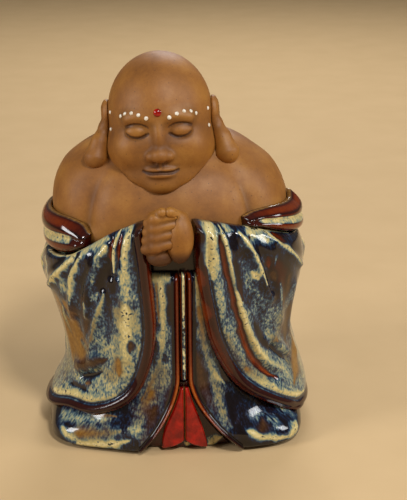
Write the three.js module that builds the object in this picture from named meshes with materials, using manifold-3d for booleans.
// A stoneware figurine of a stout robed monk with clasped hands, hollow inside and open at the foot.
// A press-moulded body is dressed in slabs of clay: a skirt layer, then wide sleeves, then the collar
// that has slipped off the shoulders. The head, ears, hands and slip dots are luted on last.
// Millimetres and degrees. +Z is up, the figure faces -Y, and +X is the wearer's left side.
// An angle is measured round the upright axis of the body: 0 is the front and +90 the wearer's left.
import * as THREE from "three";
import { mergeVertices } from "three/addons/utils/BufferGeometryUtils.js";
import Module from "manifold-3d";

// Joints and walls
const LUTING_GAP = 0.3; // slip joint between two luted pieces
const CRUMB = 0.08; // smallest step left where pieces are cut to fit
const LAYER_EASE = 0.2; // added where a curved slab lies on a curved layer
const BODY_WALL = 7;
const NECK_BORE = 16; // kiln vent between the body's hollow and the head's

// Main sizes
const BODY_HEIGHT = 163; // from the foot to the flat top that the head covers
const BODY_WIDTH = 126; // across the upper arms
const BODY_DEPTH = 98; // at the foot, before the back is flattened
const SKIRT_TOP = 98; // height of the skirt's upper edge
const SLEEVE_TOP = 126; // height of the sleeves at the wrists
const ROBE_REACH = { right: 71.5, left: 75, front: 63.5, back: 52 }; // of the sleeves, from the body's axis

// Body: rings from the foot to the top, as shares of its height, half width and half depth
const BODY_RINGS = [
  { rise: 0, right: 0.905, left: 0.905, depth: 1 },
  { rise: 0.135, right: 0.81, left: 0.81, depth: 0.98 },
  { rise: 0.275, right: 0.745, left: 0.745, depth: 0.97 },
  { rise: 0.46, right: 0.81, left: 0.81, depth: 0.96 },
  { rise: 0.615, right: 0.93, left: 0.93, depth: 0.95 },
  { rise: 0.725, right: 1, left: 1, depth: 0.95 },
  { rise: 0.815, right: 0.99, left: 0.95, depth: 0.88 },
  { rise: 0.885, right: 0.91, left: 0.85, depth: 0.755 },
  { rise: 0.93, right: 0.785, left: 0.71, depth: 0.61 },
  { rise: 0.97, right: 0.61, left: 0.55, depth: 0.49 },
  { rise: 0.99, right: 0.43, left: 0.4, depth: 0.4 },
  { rise: 1, right: 0.28, left: 0.28, depth: 0.33 },
];
const BODY_BACK_SHARE = 0.88; // the back is flatter than the front
const OVAL_POWER = 2.35; // 2 is an ellipse, more is squarer
const ARM_CREASE = { angle: 50, width: 7, depth: 2.5, low: 0.67, high: 0.95 }; // low and high as rises

// Skirt layer: thickness over the body, with the hem swelling into two lobes
const SKIRT_THICKNESS = 5;
const LOBE_THICKNESS = { right: 13.2, left: 16 }; // at the fullest part of each lobe
const LOBE_END_ANGLE = 70; // the lobes grow thinner from here round to the back
// From plain thickness at swell 0 to the lobe's at swell 1, with the rise as a share of the skirt's height
const SKIRT_SWELL = [
  { rise: 0, swell: 0.7 },
  { rise: 0.03, swell: 0.93 },
  { rise: 0.12, swell: 1 },
  { rise: 0.225, swell: 0.65 },
  { rise: 0.43, swell: 0.18 },
  { rise: 1, swell: 0 },
];
// The lobes' rounded ends stand out most at these angles, and die out between two heights.
const LOBE_BULGE = { right: 8, left: 9 };
const LOBE_ANGLE = { right: 50, left: 54 };
const LOBE_SPREAD = 15;
const LOBE_FADE = { low: 6, high: 24 };
const SKIRT_BACK_SHARE = 0.6; // thickness behind, as a share of that in front
const SKIRT_ROUND = 6; // height over which the top edge rounds inwards
const SKIRT_EDGE_SHARE = 0.4; // thickness left at the top edge
const SKIRT_SIDE_ANGLE = 100; // where the front panels meet the back panel
const SEAM_ANGLE = 7.5; // the front opening hangs a little to the wearer's left
const PLACKET_WIDTH = 3;
const RIM_HEIGHT = 1.2; // raised rim along the front edges
const RIM_SHARE = 0.04; // its width, as a share of the panel
const TOE_ROUND = 6; // the rim's lower end is rounded back by this much
const TOE_HEIGHT = 12;
const OPENING_TOP = 41; // the front edges part below this height
const OPENING_RIGHT = 17.5; // how far each edge has swung out at the foot
const OPENING_LEFT = 21;
const OPENING_CURVE = 1.6; // 1 is a straight edge, more swings out later
const UNDER_ROBE_THICKNESS = 4;
const TAIL_THICKNESS = 3.6;
const TAIL_FOOT = 3.5; // height of the lower ends of the sash tails
const TAIL_SHARE = 0.46; // the tails' outer edges, as a share of the opening
const TAIL_EDGE_SHARE = 0.5; // thickness left at a tail's edges

// Sleeve layer: reach of the robe as shares of its largest, with the rise as a share of the sleeves' height
const ROBE_RINGS = [
  { rise: 0.04, right: 0.96, left: 0.99, front: 1, back: 1 },
  { rise: 0.13, right: 0.945, left: 1, front: 0.99, back: 0.99 },
  { rise: 0.24, right: 0.84, left: 0.95, front: 0.98, back: 0.96 },
  { rise: 0.335, right: 0.82, left: 0.895, front: 0.94, back: 0.94 },
  { rise: 0.43, right: 0.84, left: 0.86, front: 0.93, back: 0.935 },
  { rise: 0.54, right: 0.89, left: 0.88, front: 0.92, back: 0.935 },
  { rise: 0.675, right: 0.965, left: 0.935, front: 0.915, back: 0.935 },
  { rise: 0.8, right: 1, left: 0.95, front: 0.905, back: 0.935 },
  { rise: 0.89, right: 0.98, left: 0.935, front: 0.9, back: 0.925 },
  { rise: 1, right: 0.92, left: 0.88, front: 0.9, back: 0.895 },
];
const SLEEVE_LEAST = 3; // thinnest sleeve slab
const LIP_SHARE = 0.75; // thickness at the very edge of the hem
const LIP_ROUND = 0.03; // share of the length over which the lip rounds off
const LIP_WIDTH = 5; // of the roll along the hem
const LIP_RISE = 1.2; // how far that roll stands out
const SLEEVE_ROLL = 0.14; // share of the length that rolls over the forearm
const ROLL_SHARE = 0.85; // how far it closes at the top
const SLEEVE_EASE = 8; // height above the skirt over which a sleeve stands clear, and then closes in

const BACK_ANGLE = 142; // the sleeves and bands end here, and the back pieces begin

// Each guide runs down the cloth from the forearm to the hem, from the wrist round to the back.
// Its top and hem are shares of the sleeves' height.
const RIGHT_SLEEVE_GUIDES = [
  { topAngle: 13, top: 1, hemAngle: 12.5, hem: 0.96 },
  { topAngle: 15, top: 0.996, hemAngle: 9.8, hem: 0.795 },
  { topAngle: 19, top: 0.988, hemAngle: 7.4, hem: 0.54 },
  { topAngle: 24, top: 0.972, hemAngle: 11.5, hem: 0.357 },
  { topAngle: 31, top: 0.948, hemAngle: 20, hem: 0.234 },
  { topAngle: 40, top: 0.9, hemAngle: 36, hem: 0.159 },
  { topAngle: 54, top: 0.824, hemAngle: 54, hem: 0.143 },
  { topAngle: 75, top: 0.79, hemAngle: 73, hem: 0.091 },
  { topAngle: 98, top: 0.797, hemAngle: 98, hem: 0.071 },
  { topAngle: 121, top: 0.825, hemAngle: 121, hem: 0.071 },
  { topAngle: BACK_ANGLE, top: 0.857, hemAngle: BACK_ANGLE, hem: 0.071 },
];
const LEFT_SLEEVE_GUIDES = [
  { topAngle: 14, top: 1, hemAngle: 13.5, hem: 0.96 },
  { topAngle: 16, top: 1, hemAngle: 13.8, hem: 0.825 },
  { topAngle: 19, top: 0.997, hemAngle: 17, hem: 0.65 },
  { topAngle: 23, top: 0.992, hemAngle: 22, hem: 0.476 },
  { topAngle: 29, top: 0.984, hemAngle: 33, hem: 0.302 },
  { topAngle: 38, top: 0.968, hemAngle: 48, hem: 0.187 },
  { topAngle: 50, top: 0.942, hemAngle: 66, hem: 0.095 },
  { topAngle: 74, top: 0.869, hemAngle: 88, hem: 0.067 },
  { topAngle: 98, top: 0.833, hemAngle: 108, hem: 0.063 },
  { topAngle: 121, top: 0.841, hemAngle: 125, hem: 0.067 },
  { topAngle: BACK_ANGLE, top: 0.857, hemAngle: BACK_ANGLE, hem: 0.071 },
];
// Each fold runs through places on the cloth, given as a guide's number, counted from the wrist, and
// the share of the way up that guide. A height below 0 is a trough.
const RIGHT_SLEEVE_FOLDS = [
  { path: [[2.4, 0.98], [2.9, 0.86], [3.5, 0.56], [4.1, 0.24], [4.2, 0.13]], height: 1.9, width: 4.2 },
  { path: [[4.2, 0.83], [4.55, 0.72], [4.5, 0.56], [4.7, 0.3]], height: -1.4, width: 3.6 },
  { path: [[4.1, 0.95], [4.6, 0.89], [4.9, 0.82], [5.1, 0.73], [5.2, 0.6]], height: 2.2, width: 2.3 },
  { path: [[4.5, 0.69], [4.8, 0.61], [5.2, 0.44], [5.25, 0.34]], height: 1.5, width: 2 },
  { path: [[5.3, 0.96], [5.6, 0.89], [5.8, 0.7], [5.85, 0.6]], height: 2.2, width: 2.3 },
  { path: [[5.5, 0.98], [5.9, 0.95], [6.3, 0.88], [6.7, 0.8]], height: 2.2, width: 2.4 },
  { path: [[6.1, 0.97], [6.7, 0.93], [7.3, 0.88]], height: -1.3, width: 2.8 },
  { path: [[6.3, 0.6], [6.25, 0.42], [6.1, 0.28]], height: 1.5, width: 4 },
  { path: [[5.7, 0.6], [5.62, 0.45], [5.55, 0.32]], height: -1.2, width: 3 },
  { path: [[5.8, 0.27], [5.4, 0.3], [5, 0.33]], height: 2.2, width: 3.2 },
  { path: [[5.75, 0.2], [5.35, 0.22], [5, 0.245]], height: -2.6, width: 2 },
  { path: [[7.4, 0.9], [7.6, 0.6], [7.7, 0.3]], height: 1.8, width: 4 },
  { path: [[8.5, 0.9], [8.6, 0.6], [8.7, 0.3]], height: -1.4, width: 4.5 },
  { path: [[9.2, 0.92], [9.2, 0.6], [9.1, 0.25]], height: 1.6, width: 4 },
];
const LEFT_SLEEVE_FOLDS = [
  { path: [[1.8, 0.99], [2.2, 0.82], [2.5, 0.64], [3.1, 0.53], [3.6, 0.06]], height: 1.7, width: 4 },
  { path: [[3.2, 0.99], [3.7, 0.77], [4.3, 0.46], [4.8, 0.25], [5.45, 0.18]], height: -1.8, width: 2 },
  { path: [[3.6, 0.98], [4, 0.72], [4.5, 0.45], [5.2, 0.27], [5.7, 0.24]], height: 1.9, width: 2 },
  { path: [[4.45, 0.92], [4.7, 0.8], [4.75, 0.68], [5.4, 0.42]], height: -1.5, width: 3.2 },
  { path: [[4.8, 0.96], [5.1, 0.88], [5.45, 0.71], [5.7, 0.63]], height: 2.1, width: 2.2 },
  { path: [[5.3, 0.93], [5.65, 0.84], [5.75, 0.68]], height: -1.4, width: 2.6 },
  { path: [[5.9, 0.99], [6.2, 0.95], [6.5, 0.89], [6.9, 0.82]], height: 2, width: 2.1 },
  { path: [[5.75, 0.41], [6.05, 0.37], [6.3, 0.33]], height: 1.8, width: 2.6 },
  { path: [[5.65, 0.355], [6, 0.31], [6.25, 0.28]], height: -2.4, width: 1.9 },
  { path: [[6.6, 0.7], [6.7, 0.5], [6.8, 0.3]], height: 1.5, width: 4 },
  { path: [[7.6, 0.9], [7.8, 0.6], [7.9, 0.3]], height: 1.8, width: 4 },
  { path: [[8.6, 0.9], [8.7, 0.6], [8.8, 0.3]], height: -1.4, width: 4.5 },
  { path: [[9.3, 0.92], [9.3, 0.6], [9.2, 0.25]], height: 1.6, width: 4 },
];
// Here at is the share of the way across the back.
const BACK_FOLDS = [
  { at: 0.22, height: 2.2, width: 0.1 },
  { at: 0.5, height: 2.6, width: 0.1 },
  { at: 0.78, height: 2.2, width: 0.1 },
];

// Collar band slipped down to the upper arms and round the back
const BAND_THICKNESS = 6.5;
const BAND_HEIGHT = 22; // at its widest
const BAND_RIDGE = 1.6; // how far its two rolls stand out
const BAND_RIDGES = 2;
const BAND_EDGE_SHARE = 0.45; // thickness left at the upper edge
// Share of the height at an angle, from the front end round to the back
const BAND_RISE = {
  right: [
    { angle: 46, share: 0.3 },
    { angle: 52, share: 0.7 },
    { angle: 62, share: 0.95 },
    { angle: 85, share: 1 },
    { angle: 105, share: 0.87 },
    { angle: BACK_ANGLE, share: 0.6 },
    { angle: 180, share: 0.45 },
  ],
  left: [
    { angle: 43, share: 0.2 },
    { angle: 52, share: 0.4 },
    { angle: 62, share: 0.62 },
    { angle: 85, share: 0.88 },
    { angle: 105, share: 0.84 },
    { angle: BACK_ANGLE, share: 0.6 },
    { angle: 180, share: 0.45 },
  ],
};
const BAND_FRONT = { right: 46, left: 43 }; // angle of its front end

// Head: its place, tilt and the pads of clay that make it up, in the head's own frame
const HEAD_RISE = 7; // of its middle over the body's top
const HEAD_CENTRE = { x: -5, y: -14, z: BODY_HEIGHT + HEAD_RISE };
const HEAD_ROLL = 2.5;
const HEAD_PADS = [
  { name: "cranium", place: [0, 1, 4], radii: [26.8, 30.2, 30.6] },
  { name: "jowls", place: [0, -3, -13], radii: [28.4, 26.5, 21] },
  { name: "chin", place: [0, -17, -24], radii: [13, 11.5, 9.5] },
  { name: "under_chin", place: [0, -9, -25], radii: [23, 19, 12] },
  { name: "right_cheek", place: [-13, -17, -9.5], radii: [10.5, 10, 9.5] },
  { name: "left_cheek", place: [13, -17, -9.5], radii: [10.5, 10, 9.5] },
];
const HEAD_BLEND = 3; // how softly one pad is smoothed into the next
// Smaller pads pressed on for the features of the face
const FACE_PADS = [
  { name: "nose_bridge", place: [0, -26, -4], radii: [3.8, 6, 9.8] },
  { name: "nose_tip", place: [0, -30, -11.6], radii: [4.7, 4.7, 4] },
  { name: "right_nostril", place: [-4.3, -28, -12.2], radii: [3.3, 3.8, 2.8] },
  { name: "left_nostril", place: [4.3, -28, -12.2], radii: [3.3, 3.8, 2.8] },
  { name: "upper_lip", place: [0, -27, -18.8], radii: [8.6, 3.6, 2] },
  { name: "lower_lip", place: [0, -27, -22], radii: [7.6, 3.8, 2.3] },
  { name: "right_brow", place: [-10.6, -24.8, 5.8], radii: [8.4, 3.8, 2.6] },
  { name: "left_brow", place: [10.6, -24.8, 5.8], radii: [8.4, 3.8, 2.6] },
  { name: "right_lid", place: [-10.8, -24, -0.6], radii: [5.8, 3.8, 3.2] },
  { name: "left_lid", place: [10.8, -24, -0.6], radii: [5.8, 3.8, 3.2] },
];
const HEAD_HOLLOW = { place: [0, 1, 4], radii: [20, 22.5, 23] };

// Ears with long lobes that rest on the shoulders: rings up from the lobe, in the head's own frame
const EAR_RINGS = [
  { z: -24, x: 34.4, y: -9, halfWidth: 2, halfDepth: 2 },
  { z: -22, x: 34.4, y: -9, halfWidth: 5, halfDepth: 4.4 },
  { z: -16, x: 34, y: -8.5, halfWidth: 6.6, halfDepth: 5.8 },
  { z: -10, x: 31.8, y: -6, halfWidth: 5.2, halfDepth: 5.6 },
  { z: -3, x: 29.4, y: -2.5, halfWidth: 4.6, halfDepth: 7 },
  { z: 4, x: 27.8, y: 0.5, halfWidth: 4.8, halfDepth: 8.2 },
  { z: 8.6, x: 26.9, y: 1.5, halfWidth: 3.6, halfDepth: 6.4 },
  { z: 10.8, x: 26.5, y: 1.8, halfWidth: 1.6, halfDepth: 3 },
];

// Slip dots: rows of white pearls for brows, two at each ear, and a red one on the forehead
const PEARL_DIAMETER = 2.2;
const PEARL_FLATNESS = 0.75;
const PEARL_RISE = 0.75; // how far a dot's middle stands off the head, as a share of its radius
const BROW_PEARLS = 5;
const BROW_FROM = 11; // bearings on the head, from the middle of the face
const BROW_TO = 42;
const BROW_HEIGHT = 14; // bearing above the head's centre, rising in an arch
const BROW_ARCH = 4;
const EAR_PEARL_BEARING = 67;
const EAR_PEARL_HEIGHTS = [14, -4];
const FOREHEAD_DOT_DIAMETER = 4;
const FOREHEAD_DOT_HEIGHT = 19;

// Hands: a fist of curled fingers and the other hand laid round it
const HAND_REACH = 6.5; // of the hands' middle in front of the body
const HAND_DROP = 5.5; // of the hands' middle below the wrists
const HAND_CENTRE = { x: -1, y: -BODY_DEPTH / 2 - HAND_REACH, z: SLEEVE_TOP - HAND_DROP };
const FINGER_RADIUS = 3.7;
const FINGER_PITCH = 6.2;
const FINGER_LENGTH = 8;
const FINGERS = 4;
const FINGER_REACH = 5.5; // how far the fingers stand in front of the palm's centre
const PALM_RADII = [8.4, 9, 13.5];
const PALM_SETBACK = 2;
const COVER_RADII = [8.5, 9.5, 13.5];
const THUMB_RADIUS = 3.4;
const THUMB_LENGTH = 9;
const THUMB_RISE = 25; // how steeply the thumb climbs over the fist
const CUFF_GAP = 0.6; // between the hands and the sleeves
const CUFF_GUIDES = 4; // the hands lie beside the sleeves' first guides

// Facets: steps along each sweep, rows up it, and segments round each pad
const SLEEVE_STEPS = 56;
const SPINE_STEPS = 20; // along each fold
const CUFF_STEPS = 14;
const PANEL_STEPS = 16;
const PANEL_CROWDING = 1.4; // more than 1 crowds the steps towards the front edge
const PLACKET_STEPS = 4;
const TAIL_STEPS = 6;
const BAND_STEPS = 18;
const BODY_STEPS = 22;
const BODY_ROWS = 9;
const SHOULDER_ROWS = 11;
const SHOULDER_CROWDING = 1.7; // more than 1 crowds the rows towards the top
const HOLLOW_ROWS = 8;
const OPENING_ROWS = 10;
const SKIRT_ROWS = 4;
const FOLD_ROWS = 15;
const LINING_ROWS = 16;
const LINING_CROWDING = 1.7; // more than 1 crowds the rows towards the hem
const BAND_ROWS = 8;
const HEAD_COLUMNS = 32;
const HEAD_ROWS = 18;
const EAR_COLUMNS = 14;
const EAR_ROWS = 14;
const POLE_ANGLE = 84; // the head's rows end here, and a small flat closes the top
const LARGE_PAD = [20, 14];
const SMALL_PAD = [12, 8];
const FINGER_FACETS = [2, 8];
const PEARL_FACETS = [6, 4];

// Bare clay, glazes and slips
const BARE_CLAY = { color: 0x96601f, roughness: 0.75 };
const FLOWING_GLAZE = { color: 0x3a4656, roughness: 0.15 };
const CREAM_GLAZE = { color: 0xcbb67a, roughness: 0.15 };
const RUST_GLAZE = { color: 0x5a1f0c, roughness: 0.15 };
const RED_GLAZE = { color: 0x7d0a08, roughness: 0.15 };
const WHITE_SLIP = { color: 0xe8e0d2, roughness: 0.5 };

const wasm = await Module();
wasm.setup();
const { clamp, degToRad, lerp, radToDeg, smoothstep } = THREE.MathUtils;

// Solids and geometry

function solidOf(geometry) {
  const bare = geometry.clone();
  bare.deleteAttribute("normal");
  bare.deleteAttribute("uv");
  const merged = mergeVertices(bare, 1e-4);
  return new wasm.Manifold(
    new wasm.Mesh({
      numProp: 3,
      vertProperties: merged.attributes.position.array,
      triVerts: new Uint32Array(merged.index.array),
    }),
  );
}

function geometryOf(solid) {
  const mesh = solid.getMesh();
  const geometry = new THREE.BufferGeometry();
  geometry.setAttribute("position", new THREE.BufferAttribute(mesh.vertProperties, 3));
  geometry.setIndex(new THREE.BufferAttribute(mesh.triVerts, 1));
  geometry.computeVertexNormals();
  return geometry;
}

function unionOf(solids) {
  return solids.reduce((whole, next) => whole.add(next));
}

// A solid with its seats cut away, without the crumbs that a cut leaves.
function seatedOn(solid, seats) {
  const cut = seats.reduce((left, seat) => left.subtract(seat), solid).simplify(CRUMB);
  return cut.decompose().reduce((main, piece) => (piece.volume() > main.volume() ? piece : main));
}

function meshOf(name, geometry, finish) {
  const material = new THREE.MeshStandardMaterial({ metalness: 0, ...finish });
  const mesh = new THREE.Mesh(geometry, material);
  mesh.name = name;
  return mesh;
}

const fromAxis = (p) => new THREE.Vector2(Math.hypot(p.x, p.y), p.z);
const fromAbove = (p) => new THREE.Vector2(p.x, p.y);

// Ways to fill the end of a sweep: as a flat outline, or between two rows of points that face each other.
const filledFlat = (flat) => (section) => THREE.ShapeUtils.triangulateShape(section.map(flat), []);

function filledAcross(section) {
  const last = section.length - 1;
  const pairs = Array.from({ length: section.length / 2 - 1 }, (_, i) => i);
  return pairs.flatMap((i) => [[i, i + 1, last - i], [i + 1, last - i - 1, last - i]]);
}

// A closed solid swept through sections that all have the same number of points.
function sweep(sections, fill = filledFlat(fromAxis)) {
  const round = sections[0].length;
  const last = (sections.length - 1) * round;
  const faces = [];
  for (let start = 0; start < last; start += round) {
    for (let i = 0; i < round; i++) {
      const a = start + i;
      const b = start + ((i + 1) % round);
      faces.push(a, a + round, b, b, a + round, b + round);
    }
  }
  fill(sections[0]).forEach(([a, b, c]) => faces.push(a, b, c));
  fill(sections.at(-1)).forEach(([a, b, c]) => faces.push(last + a, last + c, last + b));
  const geometry = new THREE.BufferGeometry().setFromPoints(sections.flat());
  geometry.setIndex(faces);
  return geometry;
}

// Values that change with height or from guide to guide

// The smooth value of a field where the key has a value, through stations sorted by that key.
function through(stations, key, field, value) {
  const last = stations.length - 1;
  let i = 0;
  while (i < last - 1 && value > stations[i + 1][key]) i++;
  const [before, low, high, after] = [-1, 0, 1, 2].map((step) => stations[clamp(i + step, 0, last)]);
  const span = high[key] - low[key];
  const t = clamp((value - low[key]) / span, 0, 1);
  const start = ((high[field] - before[field]) / (high[key] - before[key])) * span;
  const end = ((after[field] - low[field]) / (after[key] - low[key])) * span;
  const rise = high[field] - low[field];
  return low[field] + t * (start + t * (3 * rise - 2 * start - end + t * (start + end - 2 * rise)));
}

// All the fields of the stations where the key has a value.
function stationAt(stations, key, value) {
  const fields = Object.keys(stations[0]);
  return Object.fromEntries(fields.map((field) => [field, through(stations, key, field, value)]));
}

// The guide at a place between two of the list, smooth through all of them.
function guideAt(guides, place) {
  return stationAt(guides.map((guide, number) => ({ ...guide, number })), "number", place);
}

// A smooth ridge at a distance from its crest.
function ridge(distance, height, width) {
  return height * Math.exp(-((distance / width) ** 2));
}

// The distance of a point from a line through places.
function distanceTo(places, point) {
  const nearest = new THREE.Vector3();
  const segment = new THREE.Line3();
  const distances = places.slice(1).map((place, i) => {
    return segment.set(places[i], place).closestPointToPoint(point, true, nearest).distanceTo(point);
  });
  return Math.min(...distances);
}

// The layers, as distances from the upright axis

function ovalRadius(halfWidth, halfDepth, angle) {
  const across = Math.abs(Math.sin(degToRad(angle))) / halfWidth;
  const along = Math.abs(Math.cos(degToRad(angle))) / halfDepth;
  return (across ** OVAL_POWER + along ** OVAL_POWER) ** (-1 / OVAL_POWER);
}

function sideOf(angle) {
  return angle < 0 ? "right" : "left";
}

function bodyRadius(angle, z) {
  const rise = z / BODY_HEIGHT;
  const ring = (field) => through(BODY_RINGS, "rise", field, rise) / 2;
  const flatter = Math.abs(angle) < 90 ? 1 : BODY_BACK_SHARE;
  const oval = ovalRadius(BODY_WIDTH * ring(sideOf(angle)), flatter * BODY_DEPTH * ring("depth"), angle);
  const { low, high, width, depth } = ARM_CREASE;
  const middle = (low + high) / 2;
  const along = 1 - smoothstep(Math.abs(rise - middle), (high - low) / 4, (high - low) / 2);
  const across = Math.exp(-(((Math.abs(angle) - ARM_CREASE.angle) / width) ** 2));
  return oval - depth * along * across;
}

function skirtThickness(angle, z) {
  const behind = smoothstep(Math.abs(angle), LOBE_END_ANGLE, 2 * LOBE_END_ANGLE);
  const leftward = (1 + Math.sin(degToRad(angle))) / 2;
  const lobe = lerp(LOBE_THICKNESS.right, LOBE_THICKNESS.left, leftward);
  const swell = through(SKIRT_SWELL, "rise", "swell", z / SKIRT_TOP);
  const layer = lerp(SKIRT_THICKNESS, lobe, swell);
  const side = sideOf(angle);
  const bulge = ridge(Math.abs(angle) - LOBE_ANGLE[side], LOBE_BULGE[side], LOBE_SPREAD);
  const standing = swell * (1 - smoothstep(z, LOBE_FADE.low, LOBE_FADE.high));
  return layer * lerp(1, SKIRT_BACK_SHARE, behind) + bulge * standing;
}

// The surface that a slab lies on when it is laid on the body.
function onBodyRadius(angle, z) {
  return bodyRadius(angle, z) + LUTING_GAP + LAYER_EASE;
}

function skirtRadius(angle, z) {
  return onBodyRadius(angle, z) + skirtThickness(angle, z);
}

// The surface that the sleeves and the back drape are laid on, closing in on the body above the skirt.
function underSleeveRadius(angle, z) {
  const clear = SKIRT_TOP + SLEEVE_EASE;
  const skirt = skirtThickness(angle, z) + LUTING_GAP + LAYER_EASE;
  const closing = smoothstep(z, clear, clear + SLEEVE_EASE);
  return onBodyRadius(angle, z) + skirt * (1 - closing);
}

function robeRadius(angle, z) {
  const reach = (field) => ROBE_REACH[field] * through(ROBE_RINGS, "rise", field, z / SLEEVE_TOP);
  return ovalRadius(reach(sideOf(angle)), reach(Math.abs(angle) < 90 ? "front" : "back"), angle);
}

function around(angle, radius, z) {
  const turn = degToRad(angle);
  return new THREE.Vector3(radius * Math.sin(turn), -radius * Math.cos(turn), z);
}

function wrapped(angle) {
  return angle > 180 ? angle - 360 : angle;
}

// The angle that a distance spans along a layer.
function angleOf(distance, radius) {
  return radToDeg(distance / radius);
}

function steps(count, from = 0, to = 1) {
  return Array.from({ length: count + 1 }, (_, i) => lerp(from, to, i / count));
}

// Body

const INNER_TOP = BODY_HEIGHT - BODY_WALL;

// Heights of the body's rings, closer together towards the top, where the shoulders curve in.
const crowdedUpwards = (share) => lerp(BODY_HEIGHT, SKIRT_TOP, (1 - share) ** SHOULDER_CROWDING);
const OUTER_HEIGHTS = [
  ...steps(BODY_ROWS, 0, SKIRT_TOP),
  ...steps(SHOULDER_ROWS).slice(1).map(crowdedUpwards),
];

// The body's outside at an angle, from the foot to the top, grown for the cuts that seat other pieces.
function bodyOutside(angle, grow) {
  return OUTER_HEIGHTS.map((z) => around(angle, bodyRadius(angle, z) + grow, z > 0 ? z + grow : z));
}

function bodySection(angle) {
  const bore = NECK_BORE / 2;
  const inside = steps(HOLLOW_ROWS, 1, 0).map((share) => {
    const z = INNER_TOP * share;
    return around(angle, Math.max(bodyRadius(angle, z + BODY_WALL * share) - BODY_WALL, bore), z);
  });
  return [...bodyOutside(angle, 0), around(angle, bore, BODY_HEIGHT), ...inside];
}

function bodyHalf(from) {
  return sweep(steps(BODY_STEPS, from, from + 180).map((angle) => bodySection(wrapped(angle))));
}

// The body as one solid without its hollow, for seating the pieces that are luted on.
function bodySeat(grow) {
  const sides = steps(2 * BODY_STEPS, -180, 180).slice(1).map((angle) => bodyOutside(angle, grow));
  const rings = sides[0].map((_, i) => sides.map((side) => side[i]));
  return solidOf(sweep(rings.toReversed(), filledFlat(fromAbove)));
}

// Skirt layer

// The angle of a front edge at a height: beside the placket above, swung outwards below.
function openingAngle(side, z) {
  const swing = side < 0 ? OPENING_RIGHT : OPENING_LEFT;
  const open = clamp(1 - z / OPENING_TOP, 0, 1);
  const offset = PLACKET_WIDTH / 2 + LUTING_GAP + swing * open ** OPENING_CURVE;
  return SEAM_ANGLE + side * angleOf(offset, bodyRadius(0, z));
}

// Sections made outwards from the front, put in order towards the wearer's left.
function leftwards(sections, side) {
  return side < 0 ? sections.toReversed() : sections;
}

// A slab between two surfaces: angleAt, innerAt and outerAt take (along, z), and heights run upwards.
function slab(shares, heights, side, angleAt, innerAt, outerAt) {
  const sections = shares.map((along) => {
    const point = (radiusAt) => (z) => around(angleAt(along, z), radiusAt(along, z), z);
    return [...heights.map(point(outerAt)), ...heights.toReversed().map(point(innerAt))];
  });
  return sweep(leftwards(sections, side), filledAcross);
}

const PANEL_HEIGHTS = [
  ...steps(OPENING_ROWS, 0, OPENING_TOP),
  ...steps(SKIRT_ROWS, OPENING_TOP, SKIRT_TOP - SKIRT_ROUND).slice(1),
  SKIRT_TOP,
];

function skirtPanel(shares, angleAt, rim, side) {
  const innerAt = (along, z) => onBodyRadius(angleAt(along, z), z);
  const outerAt = (along, z) => {
    const angle = angleAt(along, z);
    const rounded = (1 - SKIRT_EDGE_SHARE) * smoothstep(z, SKIRT_TOP - SKIRT_ROUND, SKIRT_TOP);
    return skirtRadius(angle, z) - rounded * skirtThickness(angle, z) + rim(along, z);
  };
  return slab(shares, PANEL_HEIGHTS, side, angleAt, innerAt, outerAt);
}

function frontPanel(side) {
  const far = side * (SKIRT_SIDE_ANGLE - angleOf(LUTING_GAP / 2, BODY_WIDTH / 2));
  const angleAt = (along, z) => lerp(openingAngle(side, z), far, along);
  const rim = (along, z) => {
    const height = RIM_HEIGHT - TOE_ROUND * (1 - smoothstep(z, 0, TOE_HEIGHT));
    return height * Math.exp(-((along / RIM_SHARE) ** 2));
  };
  return skirtPanel(steps(PANEL_STEPS).map((share) => share ** PANEL_CROWDING), angleAt, rim, side);
}

function backPanel() {
  const near = SKIRT_SIDE_ANGLE + angleOf(LUTING_GAP / 2, BODY_WIDTH / 2);
  const angleAt = (along) => wrapped(lerp(near, 360 - near, along));
  return skirtPanel(steps(BODY_STEPS), angleAt, () => 0, 1);
}

// The strip that closes the front above the opening.
function placket() {
  const half = PLACKET_WIDTH / 2;
  const heights = PANEL_HEIGHTS.filter((z) => z >= OPENING_TOP);
  const angleAt = (along, z) => SEAM_ANGLE + angleOf(along * half, bodyRadius(0, z));
  const innerAt = (along, z) => onBodyRadius(angleAt(along, z), z);
  const outerAt = (along, z) => skirtRadius(angleAt(along, z), z) - RIM_HEIGHT * along ** 2;
  return slab(steps(PLACKET_STEPS, -1, 1), heights, 1, angleAt, innerAt, outerAt);
}

// Both sides of the opening are cut at the panels' own heights, so that their edges run side by side.
const OPENING_HEIGHTS = PANEL_HEIGHTS.filter((z) => z < OPENING_TOP);

function underRobeRadius(angle, z) {
  return onBodyRadius(angle, z) + UNDER_ROBE_THICKNESS;
}

// The inner robe that shows where the front edges part.
function underRobe() {
  const edge = (side, z) => openingAngle(side, z) - side * angleOf(LUTING_GAP, bodyRadius(0, z));
  const angleAt = (along, z) => lerp(edge(-1, z), edge(1, z), along);
  const innerAt = (along, z) => onBodyRadius(angleAt(along, z), z) + LAYER_EASE;
  const outerAt = (along, z) => underRobeRadius(angleAt(along, z), z);
  return slab(steps(PANEL_STEPS), OPENING_HEIGHTS, 1, angleAt, innerAt, outerAt);
}

// One hanging end of the sash, creased along its middle.
function sashTail(side) {
  const heights = [TAIL_FOOT, ...OPENING_HEIGHTS.filter((z) => z > TAIL_FOOT)];
  const near = (z) => SEAM_ANGLE + side * angleOf(LUTING_GAP, bodyRadius(0, z));
  const angleAt = (along, z) => lerp(near(z), lerp(near(z), openingAngle(side, z), TAIL_SHARE), along);
  const innerAt = (along, z) => underRobeRadius(angleAt(along, z), z) + LUTING_GAP;
  const fullness = (along) => lerp(1, TAIL_EDGE_SHARE, (2 * along - 1) ** 2);
  const outerAt = (along, z) => innerAt(along, z) + TAIL_THICKNESS * fullness(along);
  return slab(steps(TAIL_STEPS), heights, side, angleAt, innerAt, outerAt);
}

// Sleeves, back drape and collar bands

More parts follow.
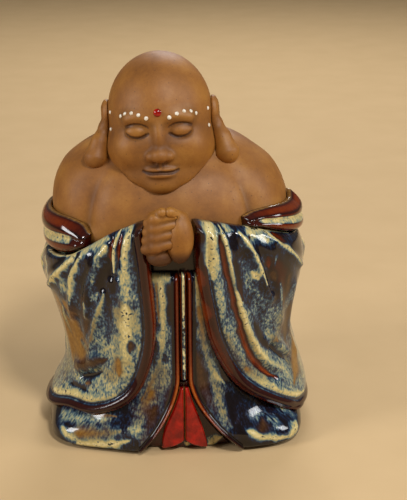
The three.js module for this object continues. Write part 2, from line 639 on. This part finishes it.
const OUTER_SHARES = [
  0,
  ...steps(FOLD_ROWS, LIP_ROUND, 1 - SLEEVE_ROLL),
  ...[0.5, 0.2, 0].map((left) => 1 - SLEEVE_ROLL * left),
];
const INNER_SHARES = steps(LINING_ROWS, 1, 0).map((share) => share ** LINING_CROWDING);

// How far the slab stands out along its length: a blunt lip at the hem, rolled over at the top.
function slabFullness(share) {
  const lip = lerp(LIP_SHARE, 1, smoothstep(share, 0, LIP_ROUND));
  const past = clamp((share - 1 + SLEEVE_ROLL) / SLEEVE_ROLL, 0, 1);
  return lip * Math.sqrt(1 - ROLL_SHARE * past ** 2);
}

// The angle and height of a place on a guide, spread by a margin.
function placeOn(guide, side, share, grow = 0) {
  return {
    angle: side * (lerp(guide.hemAngle, guide.topAngle, share) - angleOf(grow, guide.reach)),
    z: lerp(guide.hem * SLEEVE_TOP - grow, guide.top * SLEEVE_TOP + grow, share),
  };
}

function clothThickness(angle, z) {
  return Math.max(robeRadius(angle, z) - underSleeveRadius(angle, z), SLEEVE_LEAST);
}

// The point of the cloth on a guide, before it is folded.
function clothPoint(guide, side, share) {
  const { angle, z } = placeOn(guide, side, share);
  return around(angle, underSleeveRadius(angle, z) + clothThickness(angle, z), z);
}

// One section down a sleeve or the back drape; foldAt gives how far it stands out at a point of the cloth.
function draped(guide, side, foldAt, grow) {
  const inner = (share) => {
    const { angle, z } = placeOn(guide, side, share, grow);
    return around(angle, underSleeveRadius(angle, z) - grow, z);
  };
  const outer = (share) => {
    const { angle, z } = placeOn(guide, side, share, grow);
    const thickness = clothThickness(angle, z) + foldAt(clothPoint(guide, side, share));
    return around(angle, underSleeveRadius(angle, z) + thickness * slabFullness(share) + grow, z);
  };
  return [...OUTER_SHARES.map(outer), ...INNER_SHARES.map(inner)];
}

// How far the cloth stands out at a distance from its hem: a roll along it, and folds that die out there.
function standsOut(fromHem, folds) {
  const folded = folds.reduce((sum, height) => sum + height, 0);
  const lip = ridge(fromHem - LIP_WIDTH / 2, LIP_RISE, LIP_WIDTH / 2);
  return lip + folded * smoothstep(fromHem, LIP_WIDTH, 2 * LIP_WIDTH);
}

function sleeveFolds(guides, side, folds) {
  const hemPlaces = steps(SLEEVE_STEPS, 0, guides.length - 1);
  const hem = hemPlaces.map((place) => clothPoint(guideAt(guides, place), side, 0));
  const spines = folds.map(({ path }) => {
    const corners = path.map(([place, share]) => clothPoint(guideAt(guides, place), side, share));
    return new THREE.CatmullRomCurve3(corners).getPoints(SPINE_STEPS);
  });
  return (point) => {
    const heights = folds.map(({ height, width }, i) => ridge(distanceTo(spines[i], point), height, width));
    return standsOut(distanceTo(hem, point), heights);
  };
}

function sleeveGuides(side) {
  const reach = ROBE_REACH.front;
  return (side < 0 ? RIGHT_SLEEVE_GUIDES : LEFT_SLEEVE_GUIDES).map((guide) => ({ ...guide, reach }));
}

function sleeve(side) {
  const guides = sleeveGuides(side);
  const foldAt = sleeveFolds(guides, side, side < 0 ? RIGHT_SLEEVE_FOLDS : LEFT_SLEEVE_FOLDS);
  const places = steps(SLEEVE_STEPS, 0, guides.length - 1);
  const sections = places.map((place) => draped(guideAt(guides, place), side, foldAt, 0));
  return sweep(leftwards(sections, side));
}

// The room that the front of a sleeve takes up beside the hands, with a margin and without its folds.
function cuffRoom(side) {
  const guides = sleeveGuides(side);
  const places = steps(CUFF_STEPS, 0, CUFF_GUIDES);
  const sections = places.map((place) => draped(guideAt(guides, place), side, () => LIP_RISE, CUFF_GAP));
  return sweep(leftwards(sections, side));
}

function backDrape() {
  const { top, hem } = RIGHT_SLEEVE_GUIDES.at(-1);
  const near = BACK_ANGLE + angleOf(LUTING_GAP, ROBE_REACH.back);
  const sections = steps(PANEL_STEPS).map((along) => {
    const angle = wrapped(lerp(near, 360 - near, along));
    const guide = { topAngle: angle, top, hemAngle: angle, hem, reach: ROBE_REACH.back };
    const folds = BACK_FOLDS.map(({ at, height, width }) => ridge(along - at, height, width));
    return draped(guide, 1, (point) => standsOut(point.z - hem * SLEEVE_TOP, folds), 0);
  });
  return sweep(sections);
}

// The top edge of the sleeves at an angle, which the collar band rests on.
function sleeveTop(side, angle) {
  const guides = side < 0 ? RIGHT_SLEEVE_GUIDES : LEFT_SLEEVE_GUIDES;
  return SLEEVE_TOP * through(guides, "topAngle", "top", Math.min(Math.abs(angle), BACK_ANGLE));
}

function bandSection(angle, side) {
  const low = sleeveTop(side, angle) + LUTING_GAP;
  const high = low + BAND_HEIGHT * through(BAND_RISE[sideOf(side)], "angle", "share", Math.abs(angle));
  const outer = steps(BAND_ROWS).map((share) => {
    const z = lerp(low, high, share);
    const ridge = BAND_RIDGE * Math.abs(Math.sin(Math.PI * BAND_RIDGES * share));
    const round = BAND_THICKNESS * lerp(1, BAND_EDGE_SHARE, share ** 4);
    return around(angle, onBodyRadius(angle, z) + round + ridge, z);
  });
  const seat = (z) => onBodyRadius(angle, z) + LAYER_EASE;
  const inner = steps(BAND_ROWS, high, low).map((z) => around(angle, seat(z), z));
  return [...outer, ...inner];
}

function shoulderBand(side) {
  const front = side < 0 ? BAND_FRONT.right : BAND_FRONT.left;
  const angles = steps(BAND_STEPS, front, BACK_ANGLE).map((angle) => side * angle);
  const sections = angles.map((angle) => bandSection(angle, side));
  return sweep(leftwards(sections, side));
}

function backBand() {
  const near = BACK_ANGLE + angleOf(LUTING_GAP, ROBE_REACH.back);
  const angles = steps(BAND_STEPS, near, 360 - near).map(wrapped);
  return sweep(angles.map((angle) => bandSection(angle, Math.sign(angle))));
}

// Head, ears and slip dots

function pad({ place, radii }, facets, grow = 0) {
  const geometry = new THREE.SphereGeometry(1, ...facets);
  geometry.rotateX(Math.PI / 2);
  geometry.scale(...radii.map((radius) => radius + grow));
  return geometry.translate(...place);
}

// Carries a geometry from the head's own frame to its place on the body.
function onBody(geometry) {
  geometry.rotateY(degToRad(-HEAD_ROLL));
  return geometry.translate(HEAD_CENTRE.x, HEAD_CENTRE.y, HEAD_CENTRE.z);
}

// The distance from the head's centre to the far side of a pad in a direction, or none where it misses.
function padReach({ place, radii }, direction) {
  const scaled = (v) => new THREE.Vector3().fromArray(v).divide(new THREE.Vector3().fromArray(radii));
  const step = scaled(direction.toArray());
  const offset = scaled(place);
  const along = offset.dot(step) / step.lengthSq();
  const spread = along ** 2 - (offset.lengthSq() - 1) / step.lengthSq();
  return spread > 0 ? along + Math.sqrt(spread) : 0;
}

function smoothMax(a, b, blend) {
  const near = Math.max(blend - Math.abs(a - b), 0) / blend;
  return Math.max(a, b) + (near ** 2 * blend) / 4;
}

// A point on the head, from a bearing round it and a height above its middle, both seen from its centre.
function onHead(pads, bearing, height, grow = 0) {
  const direction = around(bearing, Math.cos(degToRad(height)), Math.sin(degToRad(height)));
  const reach = pads.reduce((far, shape) => smoothMax(far, padReach(shape, direction), HEAD_BLEND), 0);
  return direction.multiplyScalar(reach + grow);
}

// The head in rows from the crown down, with the features of the face joined to it.
function headForm(grow) {
  const bearings = steps(HEAD_COLUMNS, -180, 180).slice(1);
  const rows = steps(HEAD_ROWS, POLE_ANGLE, -POLE_ANGLE).map((height) => {
    return bearings.map((bearing) => onHead(HEAD_PADS, bearing, height, grow));
  });
  const features = FACE_PADS.map((shape) => pad(shape, SMALL_PAD, grow));
  return unionOf([sweep(rows, filledFlat(fromAbove)), ...features].map((form) => solidOf(onBody(form))));
}

function ear(side) {
  const bearings = steps(EAR_COLUMNS, -180, 180).slice(1);
  const rings = steps(EAR_ROWS, EAR_RINGS.at(-1).z, EAR_RINGS[0].z).map((height) => {
    const { x, y, z, halfWidth, halfDepth } = stationAt(EAR_RINGS, "z", height);
    const middle = new THREE.Vector3(side * x, y, z);
    const reach = (bearing) => ovalRadius(halfWidth, halfDepth, bearing);
    return bearings.map((bearing) => around(bearing, reach(bearing), 0).add(middle));
  });
  return solidOf(onBody(sweep(rings, filledFlat(fromAbove))));
}

// A flattened dot of slip standing on the head.
function slipDot(name, seat, bearing, height, diameter, finish) {
  const place = onHead([...HEAD_PADS, ...FACE_PADS], bearing, height);
  const outward = place.clone().normalize();
  const dot = new THREE.SphereGeometry(diameter / 2, ...PEARL_FACETS);
  dot.scale(1, 1, PEARL_FLATNESS);
  dot.applyQuaternion(new THREE.Quaternion().setFromUnitVectors(new THREE.Vector3(0, 0, 1), outward));
  dot.translate(...place.addScaledVector(outward, (diameter / 2) * PEARL_RISE).toArray());
  return meshOf(name, geometryOf(seatedOn(solidOf(onBody(dot)), [seat])), finish);
}

function slipDots(seat) {
  const dots = [slipDot("forehead_dot", seat, 0, FOREHEAD_DOT_HEIGHT, FOREHEAD_DOT_DIAMETER, RED_GLAZE)];
  for (const [wearer, side] of [["right", -1], ["left", 1]]) {
    for (let i = 0; i < BROW_PEARLS; i++) {
      const along = i / (BROW_PEARLS - 1);
      const bearing = side * lerp(BROW_FROM, BROW_TO, along);
      const height = BROW_HEIGHT + BROW_ARCH * Math.sin(Math.PI * along);
      const name = `${wearer}_brow_pearl_${i + 1}`;
      dots.push(slipDot(name, seat, bearing, height, PEARL_DIAMETER, WHITE_SLIP));
    }
    EAR_PEARL_HEIGHTS.forEach((height, i) => {
      const name = `${wearer}_ear_pearl_${i + 1}`;
      dots.push(slipDot(name, seat, side * EAR_PEARL_BEARING, height, PEARL_DIAMETER, WHITE_SLIP));
    });
  }
  return dots;
}

// Hands

function finger(row) {
  const geometry = new THREE.CapsuleGeometry(FINGER_RADIUS, FINGER_LENGTH, ...FINGER_FACETS);
  geometry.rotateZ(Math.PI / 2);
  const z = (row - (FINGERS - 1) / 2) * FINGER_PITCH;
  geometry.translate(-FINGER_LENGTH / 2, -FINGER_REACH, z);
  return solidOf(geometry);
}

// A thumb lying over the top of a palm that is moved sideways from the middle of the hands.
function thumb(sideways, top, grow = 0) {
  const geometry = new THREE.CapsuleGeometry(THUMB_RADIUS + grow, THUMB_LENGTH, ...FINGER_FACETS);
  geometry.rotateX(degToRad(THUMB_RISE));
  geometry.translate(sideways, 0, top - THUMB_RADIUS);
  return solidOf(geometry);
}

function atHands(solid) {
  return solid.translate([HAND_CENTRE.x, HAND_CENTRE.y, HAND_CENTRE.z]);
}

// The right hand's fist, with its fingers in front and the thumb on top.
function fist() {
  const [sideways, , top] = PALM_RADII;
  const palm = solidOf(pad({ place: [-sideways / 2, PALM_SETBACK, 0], radii: PALM_RADII }, SMALL_PAD));
  const fingers = Array.from({ length: FINGERS }, (_, row) => finger(row));
  return atHands(unionOf([palm, ...fingers, thumb(-sideways / 2, top)]));
}

// The left hand, seen from its back.
function coverHand(grow = 0) {
  const [sideways, , top] = COVER_RADII;
  const palm = solidOf(pad({ place: [sideways / 2, 0, 0], radii: COVER_RADII }, SMALL_PAD, grow));
  return atHands(palm.add(thumb(sideways / 2, top, grow)));
}

// Assembly

function dressed(body) {
  const seatBody = bodySeat(LUTING_GAP + LAYER_EASE);
  const seatHead = headForm(LUTING_GAP);
  const seatSleeves = unionOf([solidOf(cuffRoom(-1)), solidOf(cuffRoom(1))]);
  const seatHands = [seatBody, seatSleeves];
  const hollow = solidOf(onBody(pad(HEAD_HOLLOW, LARGE_PAD)));

  const head = meshOf("head_shell", geometryOf(seatedOn(headForm(0), [hollow, seatBody])), BARE_CLAY);
  body.add(head, ...slipDots(seatHead));
  for (const [wearer, side] of [["right", -1], ["left", 1]]) {
    body.add(
      meshOf(`${wearer}_ear`, geometryOf(seatedOn(ear(side), [seatHead, seatBody])), BARE_CLAY),
      meshOf(`${wearer}_skirt_panel`, frontPanel(side), FLOWING_GLAZE),
      meshOf(`${wearer}_sash_tail`, sashTail(side), RED_GLAZE),
      meshOf(`${wearer}_sleeve`, sleeve(side), FLOWING_GLAZE),
      meshOf(`${wearer}_shoulder_band`, shoulderBand(side), RUST_GLAZE),
    );
  }
  body.add(
    meshOf("right_hand", geometryOf(seatedOn(fist(), [coverHand(LUTING_GAP), ...seatHands])), BARE_CLAY),
    meshOf("left_hand", geometryOf(seatedOn(coverHand(), seatHands)), BARE_CLAY),
    meshOf("back_skirt_panel", backPanel(), FLOWING_GLAZE),
    meshOf("back_drape", backDrape(), FLOWING_GLAZE),
    meshOf("back_band", backBand(), RUST_GLAZE),
    meshOf("front_placket", placket(), CREAM_GLAZE),
    meshOf("under_robe", underRobe(), RUST_GLAZE),
  );
}

function bareBody() {
  const body = new THREE.Group();
  const front = meshOf("body_front_shell", bodyHalf(-90), BARE_CLAY);
  const back = meshOf("body_back_shell", bodyHalf(90), BARE_CLAY);
  front.position.y = -LUTING_GAP / 2;
  back.position.y = LUTING_GAP / 2;
  body.add(front, back);
  return body;
}

// The origin lies on the surface that the figurine stands on, under the middle of its box.
function standing(body) {
  const box = new THREE.Box3().setFromObject(body, true);
  const middle = box.getCenter(new THREE.Vector3());
  body.position.set(-middle.x, -middle.y, -box.min.z);
  const figurine = new THREE.Group();
  figurine.add(body);
  return figurine;
}

const body = bareBody();
dressed(body);
export default standing(body);
